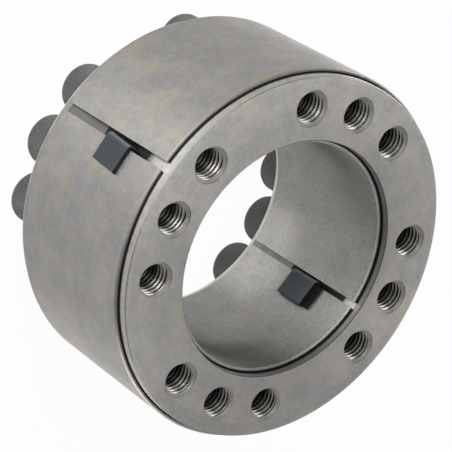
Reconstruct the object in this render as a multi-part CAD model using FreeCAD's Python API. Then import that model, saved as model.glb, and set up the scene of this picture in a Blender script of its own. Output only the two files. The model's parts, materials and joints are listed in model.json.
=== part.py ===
import FreeCAD, Part
import math
import os

# Double-taper shaft locking assembly: a slit outer ring and a slit inner ring, with two
# wedge-section pressure rings between them that twelve socket head screws draw together.
# Millimetres. The origin is on the axis, at the rear face that the screw heads bear on.
# +Z runs along the axis towards the front face, where the tapped holes open.
# Angles are in degrees about +Z, from +X.

Vector = FreeCAD.Vector
AXIS = Vector(0, 0, 1)

# overall
shaft_diameter = 80.0
section_height = 25.0       # radial, from the shaft to the hub
outer_ring_length = 56.0
inner_ring_length = 57.0
ring_stand_out = 3.5        # how far each pressure ring stands out of the outer ring

# split rings
outer_ring_edge = 1.05      # radial thickness at the thin ends
inner_ring_edge = 0.88
outer_ring_chamfer = 0.5
outer_slit_width = 3.1
outer_slit_angle = 167.2
inner_slit_width = 2.1
inner_slit_angle = -10.5

# pressure rings
pressure_ring_depth = 22.5
taper_angle = 8.0
cone_clearance = 0.55       # radial, closes as the screws are tightened
face_chamfer = 0.4

# screws, M12, in four groups of three on sixteen places
group_count = 4
screws_per_group = 3
places_per_group = 4        # the last place of each group has a jacking hole instead
thread_diameter = 12.0
thread_pitch = 1.75
thread_clearance = 0.05     # radial, between a screw and its tapped hole
through_clearance = 0.75    # radial, between a screw and its clearance hole
hole_chamfer = 0.35
screw_length = 50.0
screw_tip_chamfer = 0.5
head_diameter = 18.0
head_height = 12.0
head_chamfer = 0.6
socket_width = 10.0         # across flats
socket_depth = 6.0

# slit plugs
plug_length = 12.5
plug_width = 10.3
plug_height = 2.2           # of the head, beside the slit
plug_far_height = 1.8       # of the head, at its far edge
plug_stem_thickness = 1.2
plug_stem_depth = 2.4
plug_seat_clearance = 0.1
plug_bend_radius = 1.7
plug_edge_radius = 0.5
outer_plug_place = 30.9     # above the rear face
inner_plug_place = 29.4
outer_plug_twist = 3.9      # about the radius: the plug lies askew in its slit
inner_plug_twist = 0.0

# worked out
shaft_radius = shaft_diameter / 2
hub_radius = shaft_radius + section_height
screw_circle_radius = shaft_radius + section_height / 2
assembly_length = outer_ring_length + 2 * ring_stand_out
middle = assembly_length / 2
taper_slope = math.tan(math.radians(taper_angle))
taper_depth = pressure_ring_depth - ring_stand_out
taper_rise = taper_depth * taper_slope
inner_ring_overhang = (inner_ring_length - outer_ring_length) / 2
outer_cone_radius = hub_radius - outer_ring_edge
inner_cone_radius = shaft_radius + inner_ring_edge + inner_ring_overhang * taper_slope
group_step = 360.0 / group_count
place_step = group_step / places_per_group


def turned(profile):
    """The solid turned about Z from a closed profile of (radius, height) points."""
    corners = [Vector(radius, 0, height) for radius, height in profile]
    face = Part.Face(Part.makePolygon(corners + corners[:1]))
    return face.revolve(Vector(0, 0, 0), AXIS, 360)


def mirrored_profile(half):
    """A profile that is the same above and below the middle, from its upper half."""
    return half + [(radius, 2 * middle - height) for radius, height in reversed(half)]


def on_screw_circle(angle):
    place = math.radians(angle)
    return Vector(math.cos(place), math.sin(place), 0) * screw_circle_radius


def screw_angles():
    """Each group is centred on its own quarter of the circle, from +X."""
    spread = (screws_per_group - 1) / 2
    return [
        group * group_step + (place - spread) * place_step
        for group in range(group_count)
        for place in range(screws_per_group)
    ]


def jacking_angles():
    """Half-way between one group of screws and the next."""
    return [(group + 0.5) * group_step for group in range(group_count)]


def drill(radius, low, high, angle):
    """Cuts a plain hole through a ring that lies between the heights low and high."""
    reach = 1.0
    start = on_screw_circle(angle) + AXIS * (low - reach)
    return Part.makeCylinder(radius, high - low + 2 * reach, start, AXIS)


def countersink(radius, face, inward, angle):
    """Breaks the mouth of a hole of this radius. inward is the way into the ring."""
    reach = 1.0
    wide = radius + hole_chamfer + reach
    start = on_screw_circle(angle) + AXIS * (face - inward * reach)
    return Part.makeCone(wide, radius, wide - radius, start, AXIS * inward)


def wedge_ring(face, inward):
    """A pressure ring: a straight land at its face, then a cone outside and inside."""
    outside = outer_cone_radius - cone_clearance
    inside = inner_cone_radius + cone_clearance
    land = face + inward * ring_stand_out
    end = face + inward * pressure_ring_depth
    edge = face + inward * face_chamfer
    profile = [
        (inside + face_chamfer, face),
        (outside - face_chamfer, face),
        (outside, edge),
        (outside, land),
        (outside - taper_rise, end),
        (inside + taper_rise, end),
        (inside, land),
        (inside, edge),
    ]
    return turned(profile)


def front_pressure_ring():
    """Tapped for the clamp screws. The threads are left plain, at the outside diameter."""
    face = assembly_length
    end = face - pressure_ring_depth
    radius = thread_diameter / 2 + thread_clearance
    tools = [drill(radius, end, face, angle) for angle in screw_angles()]
    tools += [countersink(radius, face, -1, angle) for angle in screw_angles()]
    return wedge_ring(face, -1).cut(tools)


def rear_pressure_ring():
    """Clearance holes under the screw heads, and tapped holes that part the rings again."""
    through_radius = thread_diameter / 2 + through_clearance
    jacking_radius = (thread_diameter - thread_pitch) / 2
    tools = [drill(through_radius, 0, pressure_ring_depth, angle) for angle in screw_angles()]
    for angle in jacking_angles():
        tools.append(drill(jacking_radius, 0, pressure_ring_depth, angle))
        tools.append(countersink(jacking_radius, 0, 1, angle))
    return wedge_ring(0, 1).cut(tools)


def slit(angle, width):
    """A saw cut from the axis outwards, through the whole height."""
    reach = 2.0
    corner = Vector(0, -width / 2, -reach)
    tool = Part.makeBox(hub_radius + reach, width, assembly_length + 2 * reach, corner)
    tool.rotate(Vector(0, 0, 0), AXIS, angle)
    return tool


def outer_ring():
    """Straight outside; inside, a cone from each end and a straight land between them."""
    end = middle + outer_ring_length / 2
    half = [
        (outer_cone_radius - taper_rise, end - taper_depth),
        (outer_cone_radius, end),
        (hub_radius - outer_ring_chamfer, end),
        (hub_radius, end - outer_ring_chamfer),
    ]
    return turned(mirrored_profile(half)).cut(slit(outer_slit_angle, outer_slit_width))


def inner_ring():
    """Straight bore; outside, a cone from each end and a straight land between them."""
    end = middle + inner_ring_length / 2
    bore_chamfer = inner_ring_edge / 2
    half = [
        (inner_cone_radius + taper_rise, end - inner_ring_overhang - taper_depth),
        (shaft_radius + inner_ring_edge, end),
        (shaft_radius + bore_chamfer, end),
        (shaft_radius, end - bore_chamfer),
    ]
    return turned(mirrored_profile(half)).cut(slit(inner_slit_angle, inner_slit_width))


def hexagon(width, height):
    corner = width / math.sqrt(3)
    turns = [side * math.pi / 3 for side in range(6)]
    points = [Vector(corner * math.cos(t), corner * math.sin(t), height) for t in turns]
    return Part.Face(Part.makePolygon(points + points[:1]))


def clamp_screw(angle):
    """A hexagon socket head cap screw, head down under the rear face."""
    shank_radius = thread_diameter / 2
    head_radius = head_diameter / 2
    profile = [
        (0, -head_height),
        (head_radius - head_chamfer, -head_height),
        (head_radius, -head_height + head_chamfer),
        (head_radius, 0),
        (shank_radius, 0),
        (shank_radius, screw_length - screw_tip_chamfer),
        (shank_radius - screw_tip_chamfer, screw_length),
        (0, screw_length),
    ]
    socket = hexagon(socket_width, -head_height).extrude(AXIS * socket_depth)
    screw = turned(profile).cut(socket)
    screw.rotate(Vector(0, 0, 0), AXIS, angle)
    screw.translate(on_screw_circle(angle))
    return screw


def slit_plug(seat_radius, outward, slit_width, side, twist):
    """A bent plug: its head lies on a ring beside the slit, and its stem hooks into it.

    X is the radius through the slit and Y runs along the ring's surface. outward is 1
    on the outside of a ring and -1 in its bore. side is 1 or -1, the way the head points.
    The stem, turned by the twist, lies against the wall of the slit under the head.
    """
    turn = math.radians(twist)
    stem_reach = (plug_stem_thickness * math.cos(turn) + plug_length * math.sin(turn)) / 2
    stem_middle = slit_width / 2 - plug_seat_clearance - stem_reach
    stem_far = stem_middle + plug_stem_thickness / 2
    stem_near = stem_middle - plug_stem_thickness / 2
    head_far = stem_near + plug_width
    seat = seat_radius + outward * plug_seat_clearance
    foot = seat_radius - outward * plug_stem_depth

    def point(x, y):
        return Vector(x, side * y, 0)

    def on_seat(y):
        return point(math.sqrt(seat**2 - y**2), y)

    top_end = on_seat(head_far) + Vector(outward * plug_far_height, 0, 0)
    corner = point(seat_radius + outward * plug_height, stem_near)
    down = Vector(-outward, 0, 0)
    along = (top_end - corner).normalize()
    half_turn = down.getAngle(along) / 2
    reach = plug_bend_radius / math.tan(half_turn)
    inward = (down + along).normalize()
    bend_start = corner + down * reach
    bend_end = corner + along * reach
    bend_middle = corner + inward * plug_bend_radius * (1 / math.sin(half_turn) - 1)
    skin = [Part.Arc(bend_start, bend_middle, bend_end), Part.LineSegment(bend_end, top_end)]
    rest = [
        Part.LineSegment(top_end, on_seat(head_far)),
        Part.Arc(on_seat(head_far), on_seat((head_far + stem_far) / 2), on_seat(stem_far)),
        Part.LineSegment(on_seat(stem_far), point(foot, stem_far)),
        Part.LineSegment(point(foot, stem_far), point(foot, stem_near)),
        Part.LineSegment(point(foot, stem_near), bend_start),
    ]
    section = Part.Wire([curve.toShape() for curve in skin + rest])
    plug = Part.Face(section).extrude(AXIS * plug_length)
    skin_wire = Part.Wire([curve.toShape() for curve in skin])

    def around_skin(edge):
        """The edges round the head's top and bend, apart from those along the bend."""
        near = 0.01
        middle = edge.valueAt((edge.FirstParameter + edge.LastParameter) / 2)
        at_an_end = min(middle.z, plug_length - middle.z) < near
        at_far_edge = abs(side * middle.y - head_far) < near
        below = Part.Vertex(middle.x, middle.y, 0)
        on_skin = skin_wire.distToShape(below)[0] < near
        return on_skin and (at_an_end or at_far_edge)

    plug = plug.makeFillet(plug_edge_radius, [e for e in plug.Edges if around_skin(e)])
    pivot = Vector(0, side * stem_middle, plug_length / 2)
    plug.rotate(pivot, Vector(1, 0, 0), -side * twist)
    return plug


def placed_plug(plug, slit_angle, place):
    plug.translate(AXIS * place)
    plug.rotate(Vector(0, 0, 0), AXIS, slit_angle)
    return plug


def build():
    outer_plug = slit_plug(hub_radius, 1, outer_slit_width, 1, outer_plug_twist)
    inner_plug = slit_plug(shaft_radius, -1, inner_slit_width, -1, inner_plug_twist)
    nodes = {
        "outer_ring": outer_ring(),
        "inner_ring": inner_ring(),
        "front_pressure_ring": front_pressure_ring(),
        "rear_pressure_ring": rear_pressure_ring(),
        "outer_slit_plug": placed_plug(outer_plug, outer_slit_angle, outer_plug_place),
        "inner_slit_plug": placed_plug(inner_plug, inner_slit_angle, inner_plug_place),
    }
    for number, angle in enumerate(screw_angles(), start=1):
        nodes[f"clamp_screw_{number:02d}"] = clamp_screw(angle)
    return nodes


os.makedirs("parts", exist_ok=True)
for node, shape in build().items():
    shape.exportStep(f"parts/{node}.step")
    box = shape.BoundBox
    print(
        f"{node}: {len(shape.Solids)} solid, valid {shape.isValid()}, {shape.Volume:.1f} mm3,"
        f" x {box.XMin:.2f} to {box.XMax:.2f}, y {box.YMin:.2f} to {box.YMax:.2f},"
        f" z {box.ZMin:.2f} to {box.ZMax:.2f}"
    )
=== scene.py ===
import json
import math

import bpy
from mathutils import Matrix, Vector


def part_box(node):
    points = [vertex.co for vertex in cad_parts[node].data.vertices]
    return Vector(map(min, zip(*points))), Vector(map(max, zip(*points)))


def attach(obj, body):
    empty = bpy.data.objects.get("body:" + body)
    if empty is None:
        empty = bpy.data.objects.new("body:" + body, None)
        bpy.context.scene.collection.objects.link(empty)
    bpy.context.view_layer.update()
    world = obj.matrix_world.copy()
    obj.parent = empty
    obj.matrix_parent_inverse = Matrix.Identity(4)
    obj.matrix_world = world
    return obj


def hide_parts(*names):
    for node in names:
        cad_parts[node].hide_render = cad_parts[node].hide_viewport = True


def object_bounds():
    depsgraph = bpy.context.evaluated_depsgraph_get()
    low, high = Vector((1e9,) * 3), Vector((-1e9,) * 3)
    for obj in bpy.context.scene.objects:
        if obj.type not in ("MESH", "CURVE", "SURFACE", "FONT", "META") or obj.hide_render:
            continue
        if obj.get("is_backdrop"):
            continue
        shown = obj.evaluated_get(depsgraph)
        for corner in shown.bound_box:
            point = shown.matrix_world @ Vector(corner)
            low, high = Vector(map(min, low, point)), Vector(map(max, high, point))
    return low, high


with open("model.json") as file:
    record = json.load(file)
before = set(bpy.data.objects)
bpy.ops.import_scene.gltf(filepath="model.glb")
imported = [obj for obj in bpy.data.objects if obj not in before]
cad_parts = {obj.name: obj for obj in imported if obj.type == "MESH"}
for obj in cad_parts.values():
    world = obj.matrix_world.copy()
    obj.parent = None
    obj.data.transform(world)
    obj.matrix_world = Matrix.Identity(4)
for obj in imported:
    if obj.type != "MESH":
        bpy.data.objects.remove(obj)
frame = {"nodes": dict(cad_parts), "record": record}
cadLow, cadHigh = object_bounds()
mm = 0.001
record = frame["record"]
nodes = frame["nodes"]
print("frame loaded:", len(nodes), "nodes")


# shader maths: sums on a Signal add their own Math nodes
class Signal:
    def __init__(self, paint, socket):
        self.paint = paint
        self.socket = socket

    def combine(self, operation, first, second):
        return self.paint.node("Math", {"operation": operation}, {0: first, 1: second})

    def __add__(self, other):
        return self.combine("ADD", self, other)

    def __radd__(self, other):
        return self.combine("ADD", other, self)

    def __sub__(self, other):
        return self.combine("SUBTRACT", self, other)

    def __rsub__(self, other):
        return self.combine("SUBTRACT", other, self)

    def __mul__(self, other):
        return self.combine("MULTIPLY", self, other)

    def __rmul__(self, other):
        return self.combine("MULTIPLY", other, self)

    def __pow__(self, other):
        return self.combine("POWER", self, other)

    def __abs__(self):
        return self.combine("ABSOLUTE", self, 0.0)


class Paint:                                   # the nodes of one material, or of the world
    def __init__(self, owner):
        self.owner = owner
        owner.use_nodes = True
        self.tree = owner.node_tree
        self.tree.nodes.clear()

    def node(self, kind, settings=None, sockets=None, out=0):
        made = self.tree.nodes.new("ShaderNode" + kind)
        for key, value in (settings or {}).items():
            setattr(made, key, value)
        for key, value in (sockets or {}).items():
            if isinstance(value, Signal):
                self.tree.links.new(value.socket, made.inputs[key])
            else:
                made.inputs[key].default_value = value
        return Signal(self, made.outputs[out]) if made.outputs else None

    def mix(self, first, second, factor):      # two colours
        return self.node("Mix", {"data_type": "RGBA"}, {0: factor, 6: first, 7: second}, 2)

    def toned(self, colour, tone):             # a colour, lighter or darker
        return self.node("VectorMath", {"operation": "SCALE"}, {0: colour, "Scale": tone})

    def between(self, value, low, high):       # 0 below low, 1 above high, smooth in the middle
        settings = {"interpolation_type": "SMOOTHSTEP"}
        return self.node("MapRange", settings, {0: value, 1: low, 2: high, 3: 0.0, 4: 1.0})

    def place(self):                           # where a point lies on the piece, in metres
        return self.node("TexCoord", out="Object")

    def facing(self):                          # the piece's own normal
        return self.node("TexCoord", out="Normal")

    def split(self, vector):
        return [self.node("SeparateXYZ", sockets={0: vector}, out=k) for k in range(3)]

    # a noise's own Scale stops at 1000, so the place is enlarged before it
    def noise(self, place, size, detail=3.0, rough=0.6):       # patches of a size in metres
        enlarged = self.node("VectorMath", {"operation": "MULTIPLY"}, {0: place, 1: [1 / size] * 3})
        sockets = {"Vector": enlarged, "Scale": 1.0, "Detail": detail, "Roughness": rough}
        return self.node("TexNoise", {"noise_dimensions": "3D"}, sockets)

    def lines(self, along, spacing, detail):   # noise that varies only with one length
        sockets = {"W": along * (1 / spacing), "Scale": 1.0, "Detail": detail}
        return self.node("TexNoise", {"noise_dimensions": "1D"}, sockets)

    def bump(self, height, depth):
        return self.node("Bump", {}, {"Height": height, "Distance": depth, "Strength": 1.0})

    def shade(self, **sockets):
        names = {"colour": "Base Color", "rough": "Roughness", "metal": "Metallic", "normal": "Normal",
                 "tint": "Specular Tint", "uneven": "Anisotropic", "across": "Anisotropic Rotation",
                 "shine": "Specular IOR Level"}
        surface = self.node("BsdfPrincipled", {}, {names[k]: v for k, v in sockets.items()})
        self.node("OutputMaterial", {}, {"Surface": surface})
        return self.owner


def newPaint(name):
    return Paint(bpy.data.materials.new(name))


def swing(noise, size):                        # a noise's spread about its middle
    return (noise - 0.5) * size


def rgb(red, green, blue):                     # a colour as picked on screen, 0 to 255
    def linear(part):
        part = part / 255
        return part / 12.92 if part <= 0.04045 else ((part + 0.055) / 1.055) ** 2.4
    return (linear(red), linear(green), linear(blue), 1.0)


# satin steel of the four rings: turning marks round the axis and faint stains of oil
# a stain's hue starts where its noise passes the first value of its edge, and is full at the second
steel = {
    "plain": rgb(145, 145, 142),
    "stains": [
        {"colour": rgb(151, 147, 137), "size": 11 * mm, "edge": (0.44, 0.66)},         # warm
        {"colour": rgb(144, 143, 145), "size": 7.7 * mm, "edge": (0.48, 0.7)},         # cool
        {"colour": rgb(151, 144, 142), "size": 6.05 * mm, "edge": (0.46, 0.68)},       # rosy
    ],
    "stainShade": 0.42,                     # how far each kind of patch or mark changes the tone
    "cloudShade": 0.42,
    "markShade": 0.24,
    "bandShade": 0.16,
    "cloudGloss": 0.14,                     # and the roughness
    "markGloss": 0.08,
    "cloud": {"size": 1.6 * mm, "detail": 4.0, "rough": 0.65},
    "speck": {"size": 0.7 * mm, "detail": 2.0},
    "speckHeight": 3.0,                     # as many times as high as a mark
    "mark": {"spacing": 0.45 * mm, "detail": 3.0},
    "markDepth": 0.003 * mm,
    "markLean": 1.37,                       # marks and bands run round walls and end faces alike
    "band": {"spacing": 4.05 * mm, "detail": 2.0},
    "bandLean": 1.21,
    "rough": 0.42,
    "rimTint": (0.7, 0.7, 0.7, 1.0),        # how much of the glare at a grazing angle is kept
    "uneven": 0.6,                          # gloss spreads across the turning marks
    "across": 0.25,
}


# each zone is a tone, what it adds to the roughness, and a function that makes its mask
def turnedSteel(name, tone=1.0, grain=0.0, rough=steel["rough"], marks=1.0, hue=1.0, zones=()):
    paint = newPaint(name)
    place = paint.place()
    x, y, z = paint.split(place)
    radius = (x * x + y * y) ** 0.5
    slope = abs(paint.split(paint.facing())[2])
    spot = {"x": x, "y": y, "z": z, "radius": radius, "slope": slope}
    mark = paint.lines(radius + z * steel["markLean"], **steel["mark"])
    band = paint.lines(radius * steel["bandLean"] + z, **steel["band"])
    cloud = paint.noise(place, **steel["cloud"])
    stains = [paint.noise(place, stain["size"]) for stain in steel["stains"]]
    colour = steel["plain"]
    for noise, stain in zip(stains, steel["stains"]):
        colour = paint.mix(colour, stain["colour"], paint.between(noise, *stain["edge"]) * hue)
    shade = tone + swing(mark, steel["markShade"] * marks) + swing(band, steel["bandShade"] * marks)
    shade = shade + swing(cloud, steel["cloudShade"]) + swing(stains[0], steel["stainShade"])
    height = mark * marks
    if grain:
        speck = paint.noise(place, **steel["speck"])
        shade = shade + swing(speck, grain)
        height = height + speck * steel["speckHeight"]
    gloss = rough + swing(cloud, steel["cloudGloss"]) + swing(mark, steel["markGloss"])
    for zoneTone, zoneRough, makeMask in zones:
        mask = makeMask(paint, spot)
        shade = shade * (1 - mask * (1 - zoneTone))
        gloss = gloss + mask * zoneRough
    normal = paint.bump(height, steel["markDepth"])
    return paint.shade(colour=paint.toned(colour, shade), metal=1.0, rough=gloss, normal=normal,
                       tint=steel["rimTint"], uneven=steel["uneven"], across=steel["across"])


# the middle of each slit, as a turn round the axis in degrees, and half its width
slits = {
    "outer": {"turn": 167.2, "reach": 1.6 * mm},
    "inner": {"turn": -10.5, "reach": 1.1 * mm},
}

# where the zones lie on the rings: lengths from the axis, heights, and patches towards a turn
zone = {
    "coneSlope": (0.05, 0.1),                  # slopes are 0 on a wall and 1 on an end face
    "wallSlope": (0.3, 0.5),
    "flatSlope": (0.9, 0.97),
    "holes": (46.3 * mm, 58.8 * mm),           # the screw holes
    "land": 63.3 * mm,                         # the ground outside of a wedge ring
    "landSoft": 0.05 * mm,
    "landHighlightFade": 61.4 * mm,                     # the land's painted highlight is weaker above this height
    "rearLand": 0.7 * mm,                      # and the rear ring's painted highlight lies only below this one
    "rearSoft": 0.2 * mm,
    "outerGleam": (62.3 * mm, 63.2 * mm),      # painted highlight on the end of the outer cone
    "outerConeShade": (59.6 * mm, 61.7 * mm),     # the part of it that is black with painted shade
    "coneSoft": 0.3 * mm,
    "outerEnd": 62.1 * mm,                     # the black lines of painted shade in the gaps lie past the cones' ends
    "outerGap": (58.0 * mm, 60.1 * mm),        # at these heights
    "innerEnd": 42.3 * mm,
    "innerGap": (58.0 * mm, 60.8 * mm),
    "gapSoft": 0.2 * mm,
    "innerConeShade": (42.3 * mm, 46.0 * mm),
    "innerGleam": {"radius": 42.0 * mm, "height": (60.0 * mm, 60.6 * mm)},
    "innerLip": 43.0 * mm,
    "rearLip": {"radius": 42.0 * mm, "height": (1.6 * mm, 2.0 * mm)},
    "halfWay": (30 * mm, 31 * mm),             # between the front and the rear edges
    "axisSoft": 1 * mm,                        # between the two sides of a ring
    "innerFace": (43 * mm, 61 * mm),
    "faceShadePatch": {"turn": -62, "reach": (22 * mm, 58 * mm)},
    "endLightPatch": {"turn": -105, "reach": (46 * mm, 60 * mm)},
    "boreLightPatch": {"turn": -14, "reach": (33.5 * mm, 39.6 * mm), "height": (14 * mm, 30 * mm)},
    "boreShadePatch": {"turn": -85, "reach": (28 * mm, 38 * mm), "height": (36 * mm, 48 * mm)},
    "plugShadow": {
        "beside": (-9.7 * mm, -0.4 * mm),      # across, from the slit's middle
        "soft": 0.5 * mm,
        "start": 0.2 * mm,                     # before the plug's front edge
        "full": 2.8 * mm,                      # past that edge, where the painted shadow ends
        "end": 5 * mm,
    },
}


def past(paint, value, limit, soft=0.1 * mm):  # 1 from the limit up
    return paint.between(value, limit - soft, limit)


def upTo(paint, value, limit, soft=0.1 * mm):  # 1 up to the limit
    return 1 - paint.between(value, limit, limit + soft)


def within(paint, value, limits, soft=0.1 * mm):
    return past(paint, value, limits[0], soft) * upTo(paint, value, limits[1], soft)


def upright(paint, spot):                      # walls, and cones as steep as these
    return 1 - paint.between(spot["slope"], *zone["wallSlope"])


def flats(paint, spot):                        # end faces
    return paint.between(spot["slope"], *zone["flatSlope"])


def brokenEdges(paint, spot):
    return paint.between(spot["slope"], *zone["wallSlope"]) * (1 - flats(paint, spot))


def towards(spot, turn):                       # how far a point lies from the axis towards a turn
    angle = math.radians(turn)
    return spot["x"] * math.cos(angle) + spot["y"] * math.sin(angle)


def thisSide(paint, spot, turn):               # 0 across the axis, on the far side of a ring
    return paint.between(towards(spot, turn), 0, zone["axisSoft"])


def patch(paint, spot, name):
    return paint.between(towards(spot, zone[name]["turn"]), *zone[name]["reach"])


def offSlit(paint, spot, slit):                # 0 where the slit of a ring opens the view
    beside = abs(towards(spot, slit["turn"] + 90))
    return 1 - upTo(paint, beside, slit["reach"]) * thisSide(paint, spot, slit["turn"])


def holeWalls(paint, spot):
    return within(paint, spot["radius"], zone["holes"]) * upright(paint, spot)


def outerLand(paint, spot):
    return past(paint, spot["radius"], zone["land"], zone["landSoft"]) * upright(paint, spot)


def landHighlightFade(paint, spot):
    return outerLand(paint, spot) * past(paint, spot["z"], zone["landHighlightFade"])


def rearLand(paint, spot):
    return outerLand(paint, spot) * upTo(paint, spot["z"], zone["rearLand"], zone["rearSoft"])


def outerGleam(paint, spot):
    return within(paint, spot["radius"], zone["outerGleam"], zone["coneSoft"]) * upright(paint, spot)


def outerConeShade(paint, spot):
    return within(paint, spot["radius"], zone["outerConeShade"], zone["coneSoft"]) * upright(paint, spot)


def outerGap(paint, spot):
    line = within(paint, spot["z"], zone["outerGap"], zone["gapSoft"]) * upright(paint, spot)
    return past(paint, spot["radius"], zone["outerEnd"]) * line * offSlit(paint, spot, slits["outer"])


def innerConeShade(paint, spot):
    return within(paint, spot["radius"], zone["innerConeShade"]) * upright(paint, spot)


def innerGap(paint, spot):
    line = within(paint, spot["z"], zone["innerGap"], zone["gapSoft"]) * upright(paint, spot)
    return upTo(paint, spot["radius"], zone["innerEnd"]) * line * offSlit(paint, spot, slits["inner"])


def innerGleam(paint, spot):                   # painted highlight on the steel that shows through the inner slit
    gleam = zone["innerGleam"]
    near = upTo(paint, spot["radius"], gleam["radius"], zone["coneSoft"]) * upright(paint, spot)
    slit = 1 - offSlit(paint, spot, slits["inner"])
    return near * slit * (1 - paint.between(spot["z"], *gleam["height"]))


def innerWall(paint, spot):
    near = upTo(paint, spot["radius"], zone["innerLip"])
    return near * upright(paint, spot) * offSlit(paint, spot, slits["inner"])


def innerEdge(paint, spot):
    return upTo(paint, spot["radius"], zone["innerLip"]) * brokenEdges(paint, spot)


def innerFace(paint, spot):                    # the front face darkens towards the bore
    return (1 - paint.between(spot["radius"], *zone["innerFace"])) * flats(paint, spot)


def faceShadePatch(paint, spot):                    # and with painted shade at one side
    return patch(paint, spot, "faceShadePatch") * flats(paint, spot)


def holeEdge(paint, spot):
    return within(paint, spot["radius"], zone["holes"]) * brokenEdges(paint, spot)


def rearCone(paint, spot):                     # not the land, which stands upright
    near = past(paint, spot["radius"], zone["outerConeShade"][0])
    return near * paint.between(spot["slope"], *zone["coneSlope"]) * upright(paint, spot)


def rearLip(paint, spot):                      # the rear ring's own wall at the bore
    lip = zone["rearLip"]
    near = upTo(paint, spot["radius"], lip["radius"]) * upright(paint, spot)
    return near * (1 - paint.between(spot["z"], *lip["height"]))


def endLightPatch(paint, spot):                     # painted light: the outer ring's ends are lighter on one side
    return patch(paint, spot, "endLightPatch") * paint.between(spot["slope"], *zone["wallSlope"])


def frontEdge(paint, spot):
    return brokenEdges(paint, spot) * paint.between(spot["z"], *zone["halfWay"])


def rearEdge(paint, spot):
    return brokenEdges(paint, spot) * (1 - paint.between(spot["z"], *zone["halfWay"]))


def boreLightPatch(paint, spot):                     # painted light: the bore is brighter at the rear of one side
    return patch(paint, spot, "boreLightPatch") * (1 - paint.between(spot["z"], *zone["boreLightPatch"]["height"]))


def boreShadePatch(paint, spot):                    # and painted shade: darker at the front of another
    return patch(paint, spot, "boreShadePatch") * paint.between(spot["z"], *zone["boreShadePatch"]["height"])


def plugShadow(paint, spot):                    # painted shadow and reflection of the plug, dark on the bore in front of it
    shade = zone["plugShadow"]
    turn = slits["inner"]["turn"]
    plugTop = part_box("inner_slit_plug")[1].z
    across = within(paint, towards(spot, turn + 90), shade["beside"], shade["soft"])
    front = past(paint, spot["z"], plugTop, shade["start"])
    back = 1 - paint.between(spot["z"], plugTop + shade["full"], plugTop + shade["end"])
    return across * front * back * thisSide(paint, spot, turn)


# cut steel of the tapped threads, dark as painted shade in the holes, and darker from the mouth inwards with
# more painted shade
cut = {
    "dark": rgb(92, 91, 88),
    "light": rgb(150, 148, 142),
    "grain": 0.8 * mm,
    "rough": 0.24,
    "roughSpread": 0.1,
    "deepShadeTone": 0.08,
    "deep": (3.5 * mm, 9.0 * mm),
}


def cutSteel(name, mouth, inward):
    paint = newPaint(name)
    place = paint.place()
    cloud = paint.noise(place, cut["grain"])
    depth = (paint.split(place)[2] - mouth) * inward
    # painted shade that deepens from the mouth inwards
    tone = 1 - paint.between(depth, *cut["deep"]) * (1 - cut["deepShadeTone"])
    colour = paint.toned(paint.mix(cut["dark"], cut["light"], cloud), tone)
    return paint.shade(colour=colour, metal=1.0, rough=cut["rough"] + cloud * cut["roughSpread"])


# blackened screws, worn lighter in patches on the crests of the knurl
black = {
    "deep": rgb(98, 98, 98),
    "worn": rgb(128, 128, 126),
    "wornRadius": (-0.22 * mm, 0.05 * mm),     # from the crest
    "patches": (0.3, 0.7),
    "grain": {"size": 1.2 * mm, "detail": 4.0},
    "grainDepth": 0.01 * mm,
    "metal": 0.75,
    "rough": 0.5,
    "roughSpread": 0.12,
}


def blackSteel(name, crest):
    paint = newPaint(name)
    place = paint.place()
    x, y, z = paint.split(place)
    cloud = paint.noise(place, **black["grain"])
    low, high = black["wornRadius"]
    worn = paint.between((x * x + y * y) ** 0.5, crest + low, crest + high)
    colour = paint.mix(black["deep"], black["worn"], worn * paint.between(cloud, *black["patches"]))
    normal = paint.bump(cloud, black["grainDepth"])
    gloss = black["rough"] + cloud * black["roughSpread"]
    return paint.shade(colour=colour, metal=black["metal"], rough=gloss, normal=normal)


# slate grey plastic of the plugs, with painted shade at the ends and a painted highlight along the bends
plastic = {
    "plain": rgb(76, 81, 84),
    "light": rgb(88, 92, 96),
    # painted light and shade: one plastic, toned darker for the outer plug than for the inner
    "tone": {"outer": 0.58, "inner": 0.92},
    "cloud": {"size": 2.2 * mm, "detail": 4.0},
    "grain": {"size": 0.25 * mm, "detail": 2.0, "rough": 0.5},
    "grainDepth": 0.012 * mm,
    "rough": 0.5,
    "roughSwing": 0.15,
    "shine": 0.2,
    "endShadeTone": 0.06,
    "endSlope": (0.6, 0.9),
    "bendHighlightTone": 1.8,
    "bendStart": (0.3, 0.6),                   # slopes to the side, where a bend starts and stops
    "bendStop": (0.8, 0.95),
}


def plugPlastic(name, plug):
    paint = newPaint(name)
    place = paint.place()
    cloud = paint.noise(place, **plastic["cloud"])
    grain = paint.noise(place, **plastic["grain"])
    turn = math.radians(slits[plug]["turn"])
    facing = paint.split(paint.facing())
    ends = paint.between(abs(facing[2]), *plastic["endSlope"])
    aside = abs(facing[1] * math.cos(turn) - facing[0] * math.sin(turn))
    bend = paint.between(aside, *plastic["bendStart"]) * (1 - paint.between(aside, *plastic["bendStop"]))
    # painted shade on the ends
    tone = plastic["tone"][plug] * (1 - ends * (1 - plastic["endShadeTone"]))
    # painted highlight along the bends
    tone = tone * (1 + bend * (plastic["bendHighlightTone"] - 1))
    colour = paint.toned(paint.mix(plastic["plain"], plastic["light"], cloud), tone)
    normal = paint.bump(grain, plastic["grainDepth"])
    gloss = plastic["rough"] + swing(grain, plastic["roughSwing"])
    return paint.shade(colour=colour, rough=gloss, normal=normal, shine=plastic["shine"])
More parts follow.
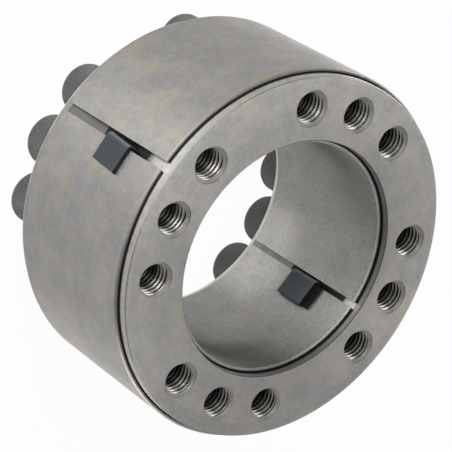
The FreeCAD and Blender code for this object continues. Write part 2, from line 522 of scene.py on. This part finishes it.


# each ring's finish, with its zones in the order in which they are laid on; most zones are painted light and
# shade
ringFinish = {
    "outer_ring": {
        "name": "outerRingSteel",
        "tone": 1.01,
        "marks": 0.6,
        "zones": [
            # painted shade on the outer ring's chamfers and ends, at the gaps
            (0.55, 0.2, brokenEdges),
            (0.36, 0.2, flats),
            # painted light on the ends at one side
            (2.0, 0.0, endLightPatch),
        ],
    },
    "inner_ring": {
        "name": "innerRingSteel",
        "tone": 1.03,
        "grain": 0.75,
        "rough": 0.44,
        "marks": 0.4,
        "hue": 0.4,
        "zones": [
            # painted shade dims the front chamfer's highlight, and a painted highlight lights the rear one
            (0.85, 0.3, frontEdge),
            (1.5, 0.2, rearEdge),
            # painted light on the bore, towards its rear on one side
            (1.55, 0.0, boreLightPatch),
            # painted shade on the bore, towards its front on another side
            (0.62, 0.0, boreShadePatch),
            # painted shadow of the plug on the bore
            (0.08, 0.0, plugShadow),
        ],
    },
    "front_pressure_ring": {
        "name": "frontRingSteel",
        "tone": 0.98,
        "marks": 0.8,
        "hue": 0.8,
        "zones": [
            # painted shade in the holes
            (0.2, 0.0, holeWalls),
            # painted highlight on the land
            (1.38, 0.0, outerLand),
            # less of that painted highlight higher up
            (0.84, 0.0, landHighlightFade),
            # painted highlight on the outer cone's end
            (1.8, 0.0, outerGleam),
            # painted shade, black on the deep part of the outer cone
            (0.12, 0.0, outerConeShade),
            # painted shade in the gap at the outer ring
            (0.06, 0.2, outerGap),
            # painted shade, black on the inner cone next to the inner ring
            (0.12, 0.0, innerConeShade),
            # painted shade on the wall above the inner ring
            (0.7, 0.0, innerWall),
            # painted shade in the gap at the inner ring
            (0.06, 0.2, innerGap),
            # painted highlight in the inner slit
            (2.0, 0.0, innerGleam),
            # painted shade dims the chamfers' highlights
            (0.6, 0.2, brokenEdges),
            (1.0, 0.2, holeEdge),
            # painted shade dims the highlight on the edge at the bore
            (0.5, 0.2, innerEdge),
            # painted shade on one side of the front face
            (0.7, 0.0, faceShadePatch),
            (0.85, 0.0, innerFace),
        ],
    },
    "rear_pressure_ring": {
        "name": "rearRingSteel",
        "tone": 0.9,
        "marks": 1.8,
        "zones": [
            # painted shade in the holes
            (0.2, 0.0, holeWalls),
            # painted highlight on the rear land
            (1.8, 0.0, rearLand),
            (0.48, 0.0, rearCone),
            (0.5, 0.0, brokenEdges),
            # painted highlight on the rear ring's wall at the bore
            (2.6, 0.1, rearLip),
        ],
    },
}


def wear(node, material):
    nodes[node].data.materials.clear()
    nodes[node].data.materials.append(material)


for name, finish in ringFinish.items():
    wear(name, turnedSteel(**finish))
for plug in slits:
    wear(f"{plug}_slit_plug", plugPlastic(f"{plug}PlugPlastic", plug))
print("ring and plug finishes made")


# meshes are written in millimetres, and a form is points, faces and a finish
def meshPiece(name, points, faces, material, place):
    mesh = bpy.data.meshes.new(name)
    mesh.from_pydata([Vector(p) * mm for p in points], [], faces)
    mesh.materials.append(material)
    mesh.validate()
    mesh.update()
    piece = bpy.data.objects.new(name, mesh)
    piece.matrix_world = place
    bpy.context.scene.collection.objects.link(piece)
    return piece


def smooth(piece, angle=35):
    piece.data.shade_smooth()
    piece.data.set_sharp_from_angle(angle=math.radians(angle))


def around(sides):                             # turns spaced evenly round the axis
    return [2 * math.pi * k / sides for k in range(sides)]


# rings of points joined one to the next and closed at both ends
# each ring is (radius, height), and the radius may be a function of the turn
def loft(rings, sides):
    points = []
    for radius, height in rings:
        for turn in around(sides):
            reach = radius(turn) if callable(radius) else radius
            points.append((reach * math.cos(turn), reach * math.sin(turn), height))
    faces = []
    for row in range(len(rings) - 1):
        for k in range(sides):
            after = (k + 1) % sides
            start = row * sides
            faces.append((start + k, start + after, start + sides + after, start + sides + k))
    for row, way in ((0, -1), (len(rings) - 1, 1)):
        middle = len(points)
        points.append((0, 0, rings[row][1]))
        for k in range(sides):
            pair = (row * sides + k, row * sides + (k + 1) % sides)
            faces.append((*pair[::way], middle))
    return points, faces


# a closed band turned from a closed section of (radius, height) points
def hoop(section, sides):
    points = [(r * math.cos(t), r * math.sin(t), h) for t in around(sides) for r, h in section]
    count = len(section)
    faces = []
    for k in range(sides):
        here, there = k * count, (k + 1) % sides * count
        for j in range(count):
            after = (j + 1) % count
            faces.append((here + j, there + j, there + after, here + after))
    return points, faces


def joined(*parts):
    points, faces = [], []
    for more, sides in parts:
        faces += [tuple(k + len(points) for k in face) for face in sides]
        points += more
    return points, faces


# threads are right-handed, and a ridge is low at both ends and full after so many steps
winding = {"perTurn": 36, "fade": 12, "least": 0.04}


# the section starts at the root, and an inner thread's runs the other way, to face the axis
def threadSection(root, crest, rootHalf, crestHalf):
    way = 1 if crest > root else -1
    below = [(root, -rootHalf * way), (crest, -crestHalf * way)]
    return below + [(radius, -height) for radius, height in reversed(below)]


def ridge(section, pitch, low, high):
    perTurn, fade = winding["perTurn"], winding["fade"]
    steps = round((high - low) / pitch * perTurn)
    root = section[0][0]
    points = []
    for step in range(steps + 1):
        turn = 2 * math.pi * step / perTurn
        rise = low + pitch * step / perTurn
        full = max(winding["least"], min(1.0, step / fade, (steps - step) / fade))
        for radius, height in section:
            reach = root + (radius - root) * full
            points.append((reach * math.cos(turn), reach * math.sin(turn), rise + height))
    count = len(section)
    faces = []
    for step in range(steps):
        for k in range(count):
            after = (k + 1) % count
            here = step * count
            faces.append((here + k, here + count + k, here + count + after, here + after))
    faces.append(tuple(range(count)))
    faces.append(tuple(steps * count + k for k in reversed(range(count))))
    return points, faces


# the screws, in each one's own frame: on its axis, level with the rear ring's face
screwNames = sorted(n for n in nodes if n.startswith("clamp_screw_"))
boxLow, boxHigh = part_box(screwNames[1])
screw = {
    "pitch": 1.75,
    "crest": 5.95,
    "root": 5.05,
    "sink": 0.05,              # how deep the ridge stands in the root
    "rootHalf": 0.68,          # half the ridge's width
    "crestHalf": 0.11,
    "plain": 13.0,             # unthreaded length under the head
    "runOut": 0.9,             # from the plain shank to the root
    "threadStart": 14.0,
    "threadEnd": 0.75,         # short of the tip
    "shank": 5.98,
    "neck": 0.4,               # bevel between the head and the shank
    "tip": boxHigh.z / mm,
    "tipBevel": 0.6,
    "headRadius": (boxHigh.y - boxLow.y) / 2 / mm,
    "headEnd": boxLow.z / mm,
    "edge": 1.1,               # rounding round the head's end
    "edgeSteps": 6,
    "knurls": 78,
    "knurlDepth": 0.3,
    "knurlStart": 0.25,        # past the rounding
    "knurlStop": -0.9,         # height
    "rim": ((0.35, -0.45), (0.5, 0.0)),        # how far in, and heights, under the knurl
    "socketWidth": 10.0,
    "socketDepth": 6.0,
    "mouthWidth": 10.7,        # the socket widens to this at the head's end
    "mouthDepth": 0.3,
    "drillRadius": 4.8,
    "drillDepth": 1.6,
    "drillTip": 0.05,
    "sides": 156,
    "crease": 28,              # edges sharper than this stay sharp, in degrees
}


def screwPlace(node):
    low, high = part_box(node)
    middle = (low + high) / 2
    turn = math.atan2(middle.y, middle.x)
    return Matrix.Translation((middle.x, middle.y, 0)) @ Matrix.Rotation(turn, 4, "Z")


def hexagon(width):
    def reach(turn):
        return width / 2 / math.cos((turn + math.pi / 6) % (math.pi / 3) - math.pi / 6)
    return reach


def knurl(radius):
    def reach(turn):
        wave = math.cos(turn * screw["knurls"])
        return radius - screw["knurlDepth"] * (0.5 - 0.5 * wave)
    return reach


def socketRings(size):                         # from the drill's tip out to the head's end
    bottom = size["headEnd"] + size["socketDepth"]
    wall = hexagon(size["socketWidth"])
    return [
        (size["drillTip"], bottom + size["drillDepth"]),
        (size["drillRadius"], bottom),
        (wall, bottom),
        (wall, size["headEnd"] + size["mouthDepth"]),
        (hexagon(size["mouthWidth"]), size["headEnd"]),
    ]


def headRings(size):                           # the rounding, the knurl and the rim under it
    radius, edge = size["headRadius"], size["edge"]
    rings = []
    for step in range(size["edgeSteps"] + 1):
        share = step / size["edgeSteps"]
        turn = math.pi / 2 * share
        reach = radius - edge * (1 - math.sin(turn)) - size["knurlDepth"] * share
        rings.append((reach, size["headEnd"] + edge * (1 - math.cos(turn))))
    rings.append((knurl(radius), size["headEnd"] + edge + size["knurlStart"]))
    rings.append((knurl(radius), size["knurlStop"]))
    return rings + [(radius - inset, height) for inset, height in size["rim"]]


def shankRings(size):
    return [
        (size["shank"] + size["neck"], 0.0),
        (size["shank"], size["neck"]),
        (size["shank"], size["plain"]),
        (size["root"], size["plain"] + size["runOut"]),
        (size["root"], size["tip"] - size["tipBevel"]),
        (size["root"] - size["tipBevel"], size["tip"]),
    ]


def screwShape(size):
    body = loft(socketRings(size) + headRings(size) + shankRings(size), size["sides"])
    section = threadSection(size["root"] - size["sink"], size["crest"], size["rootHalf"], size["crestHalf"])
    return joined(body, ridge(section, size["pitch"], size["threadStart"], size["tip"] - size["threadEnd"]))


screwBlack = blackSteel("screwBlack", screw["headRadius"] * mm)
screwForm = (*screwShape(screw), screwBlack)
for name in screwNames:
    piece = meshPiece(name.replace("clamp_", "knurled_"), *screwForm, screwPlace(name))
    smooth(piece, screw["crease"])
    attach(piece, name)
    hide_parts(name)
print("screws made:", len(screwNames))


# thread ridges in the tapped holes, half a pitch on from the screws' own
frontLow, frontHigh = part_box("front_pressure_ring")
tapped = {
    "wall": 6.12,
    "crest": 5.22,
    "wallHalf": 0.72,          # half the ridge's width
    "crestHalf": 0.2,
    "low": frontLow.z / mm,
    "clear": 0.5,              # the ridge starts at least this far in
    "face": frontHigh.z / mm,
    "lip": 0.32,               # how far below the face the cone at the mouth starts
    "cone": 0.85,              # how deep that cone goes
    "coneRadius": 5.27,        # and how far in it narrows the hole
    "coneBack": 0.4,
    # painted shade: the mouths are darker than the face
    "mouthTone": 0.72,
    "mouthRough": 0.85,
    "mouthMarks": 0.3,
    "sides": 96,
}


def tappedShape(size):
    pitch = screw["pitch"]
    start = screw["threadStart"] + pitch / 2
    turns = math.ceil((size["low"] + size["clear"] - start) / pitch)
    section = threadSection(size["wall"], size["crest"], size["wallHalf"], size["crestHalf"])
    return ridge(section, pitch, start + turns * pitch, size["face"] - size["lip"] - size["cone"])


def mouthShape(size):                          # the countersink, which carries on the hole's own edge
    mouth = size["face"] - size["lip"]
    bottom = mouth - size["cone"]
    section = [(size["wall"], mouth), (size["coneRadius"], bottom), (size["wall"], bottom - size["coneBack"])]
    return hoop(section, size["sides"])


threadSteel = cutSteel("threadSteel", frontHigh.z, -1)
mouthSteel = turnedSteel("mouthSteel", tone=tapped["mouthTone"], rough=tapped["mouthRough"],
                         marks=tapped["mouthMarks"])
tappedForms = {
    "tapped_thread": (*tappedShape(tapped), threadSteel),
    "hole_mouth": (*mouthShape(tapped), mouthSteel),
}
for name in screwNames:
    for label, form in tappedForms.items():
        piece = meshPiece(name.replace("clamp_screw", label), *form, screwPlace(name))
        smooth(piece)
        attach(piece, "front_pressure_ring")
print("tapped threads made")


# thread ridges in the jacking holes of the rear ring
rearLow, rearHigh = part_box("rear_pressure_ring")
jackingMount = next(m for m in record["mounts"] if m["name"] == "jacking_threads")
jacking = {
    "wall": jackingMount["dims"]["hole_r_mm"] + 0.06,          # the ridge stands a little in the wall
    "depth": 0.4,
    "wallHalf": 0.6,
    "crestHalf": 0.16,
    "low": rearLow.z / mm + 1.0,               # the ridge stops short of the ring's ends
    "high": rearHigh.z / mm - 0.8,
}


def jackingShape(size):
    section = threadSection(size["wall"], size["wall"] - size["depth"], size["wallHalf"], size["crestHalf"])
    return ridge(section, screw["pitch"], size["low"], size["high"])


jackingSteel = cutSteel("jackingSteel", rearLow.z, 1)
jackingForm = (*jackingShape(jacking), jackingSteel)
jackingHoles = [o for o in record["physics"]["openings"] if o["name"].startswith("jacking_hole")]
for number, hole in enumerate(jackingHoles, start=1):
    low, high = (Vector(corner) for corner in hole["box_m"])
    middle = (low + high) / 2
    place = Matrix.Translation((middle.x, middle.y, 0))
    piece = meshPiece(f"jacking_thread_{number}", *jackingForm, place)
    smooth(piece)
    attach(piece, "rear_pressure_ring")
print("jacking threads made:", len(jackingHoles))


# the floor and the sky: white to the camera and in reflections
# the floor keeps a share of real shadow, and the sky lights the part only faintly
floor = {"radius": 3.0, "gap": 0.02 * mm, "sides": 64, "shadow": 0.03, "tone": 0.85}
sky = {"level": 0.15}
white = (1, 1, 1, 1)


def rayIsSeen(paint):                          # 1 for rays from the camera, mirrors and glass
    rays = [paint.node("LightPath", out=f"Is {kind} Ray") for kind in ("Camera", "Glossy", "Transmission")]
    return paint.node("Clamp", {}, {0: rays[0] + rays[1] + rays[2]})


def makeFloor():
    paint = newPaint("floorWhite")
    lit = paint.node("BsdfDiffuse", {}, {"Color": (floor["tone"],) * 3 + (1,)})
    glow = paint.node("Emission", {}, {"Color": white, "Strength": 1.0})
    share = rayIsSeen(paint) * (1 - floor["shadow"])
    surface = paint.node("MixShader", {}, {0: share, 1: lit, 2: glow})
    paint.node("OutputMaterial", {}, {"Surface": surface})
    reach = floor["radius"] / mm
    points = [(reach * math.cos(t), reach * math.sin(t), 0) for t in around(floor["sides"])]
    place = Matrix.Translation((0, 0, cadLow.z - floor["gap"]))
    piece = meshPiece("floor", points, [tuple(range(floor["sides"]))], paint.owner, place)
    piece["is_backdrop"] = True


def makeSky():
    world = bpy.data.worlds.new("studio")
    bpy.context.scene.world = world
    paint = Paint(world)
    strength = rayIsSeen(paint) * (1 - sky["level"]) + sky["level"]
    background = paint.node("Background", {}, {"Color": white, "Strength": strength})
    paint.node("OutputWorld", {}, {"Surface": background})


makeFloor()
makeSky()


# lamps: turn and height in degrees as seen from the part, size and distance in metres
# gloss lamps only show in the steel, and soft lamps only light what is dull
lamps = {
    "glossNear": {"turn": 170, "height": 55, "distance": 0.42, "size": 0.22, "watts": 1.1},
    "glossHigh": {"turn": 140, "height": 38, "distance": 1.1, "size": 0.6, "watts": 5.9},
    "glossSide": {"turn": 160, "height": 6, "distance": 1.1, "size": 0.6, "watts": 10.4},
    "glossRim": {"turn": 42, "height": 6, "distance": 1.1, "size": 0.6, "watts": 16.0},
    "glossUnder": {"turn": 280, "height": 6, "distance": 1.1, "size": 0.6, "watts": 8.6},
    "glossEnd": {"turn": 340, "height": 6, "distance": 1.1, "size": 0.6, "watts": 2.4},
    "glossThreads": {"turn": 66, "height": 47, "distance": 1.1, "size": 0.5, "watts": 3.0},
    "softKey": {"turn": 125, "height": 8, "distance": 1.1, "size": 0.8, "watts": 14.0},
    "softTop": {"turn": 125, "height": 40, "distance": 1.1, "size": 0.8, "watts": 6.0},
}


def direction(turn, height):
    angle = math.radians(turn)
    up = math.radians(height)
    return Vector((math.cos(angle) * math.cos(up), math.sin(angle) * math.cos(up), math.sin(up)))


centre = Vector((0, 0, (cadLow.z + cadHigh.z) / 2))
for name, lamp in lamps.items():
    light = bpy.data.lights.new(name, "AREA")
    light.shape = "DISK"
    light.size = lamp["size"]
    light.energy = lamp["watts"]
    holder = bpy.data.objects.new(name, light)
    way = direction(lamp["turn"], lamp["height"])
    holder.location = centre + way * lamp["distance"]
    holder.rotation_euler = (-way).to_track_quat("-Z", "Y").to_euler()
    holder.visible_camera = False
    holder.visible_diffuse = name.startswith("soft")
    holder.visible_glossy = name.startswith("gloss")
    bpy.context.scene.collection.objects.link(holder)


# the camera stands where the photograph was taken from, rolled on its own axis
camera = {
    "turn": 170.728,
    "height": 46.763,
    "roll": 122.503,
    "aim": Vector((-1.431, -1.158, 30.348)) * mm,
    "distance": 704.66 * mm,
    "lens": 166.41,
    "sensor": 36,
    "nearest": 10 * mm,
}
view = bpy.data.objects.new("camera", bpy.data.cameras.new("camera"))
view.data.sensor_width = camera["sensor"]
view.data.lens = camera["lens"]
view.data.clip_start = camera["nearest"]
way = direction(camera["turn"], camera["height"])
stand = Matrix.Translation(camera["aim"] + way * camera["distance"])
level = (-way).to_track_quat("-Z", "Y").to_matrix().to_4x4()
view.matrix_world = stand @ level @ Matrix.Rotation(math.radians(camera["roll"]), 4, "Z")
bpy.context.scene.collection.objects.link(view)
bpy.context.scene.camera = view
bpy.context.scene.view_settings.view_transform = "Standard"
print("stage, lamps and camera set")

low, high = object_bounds()
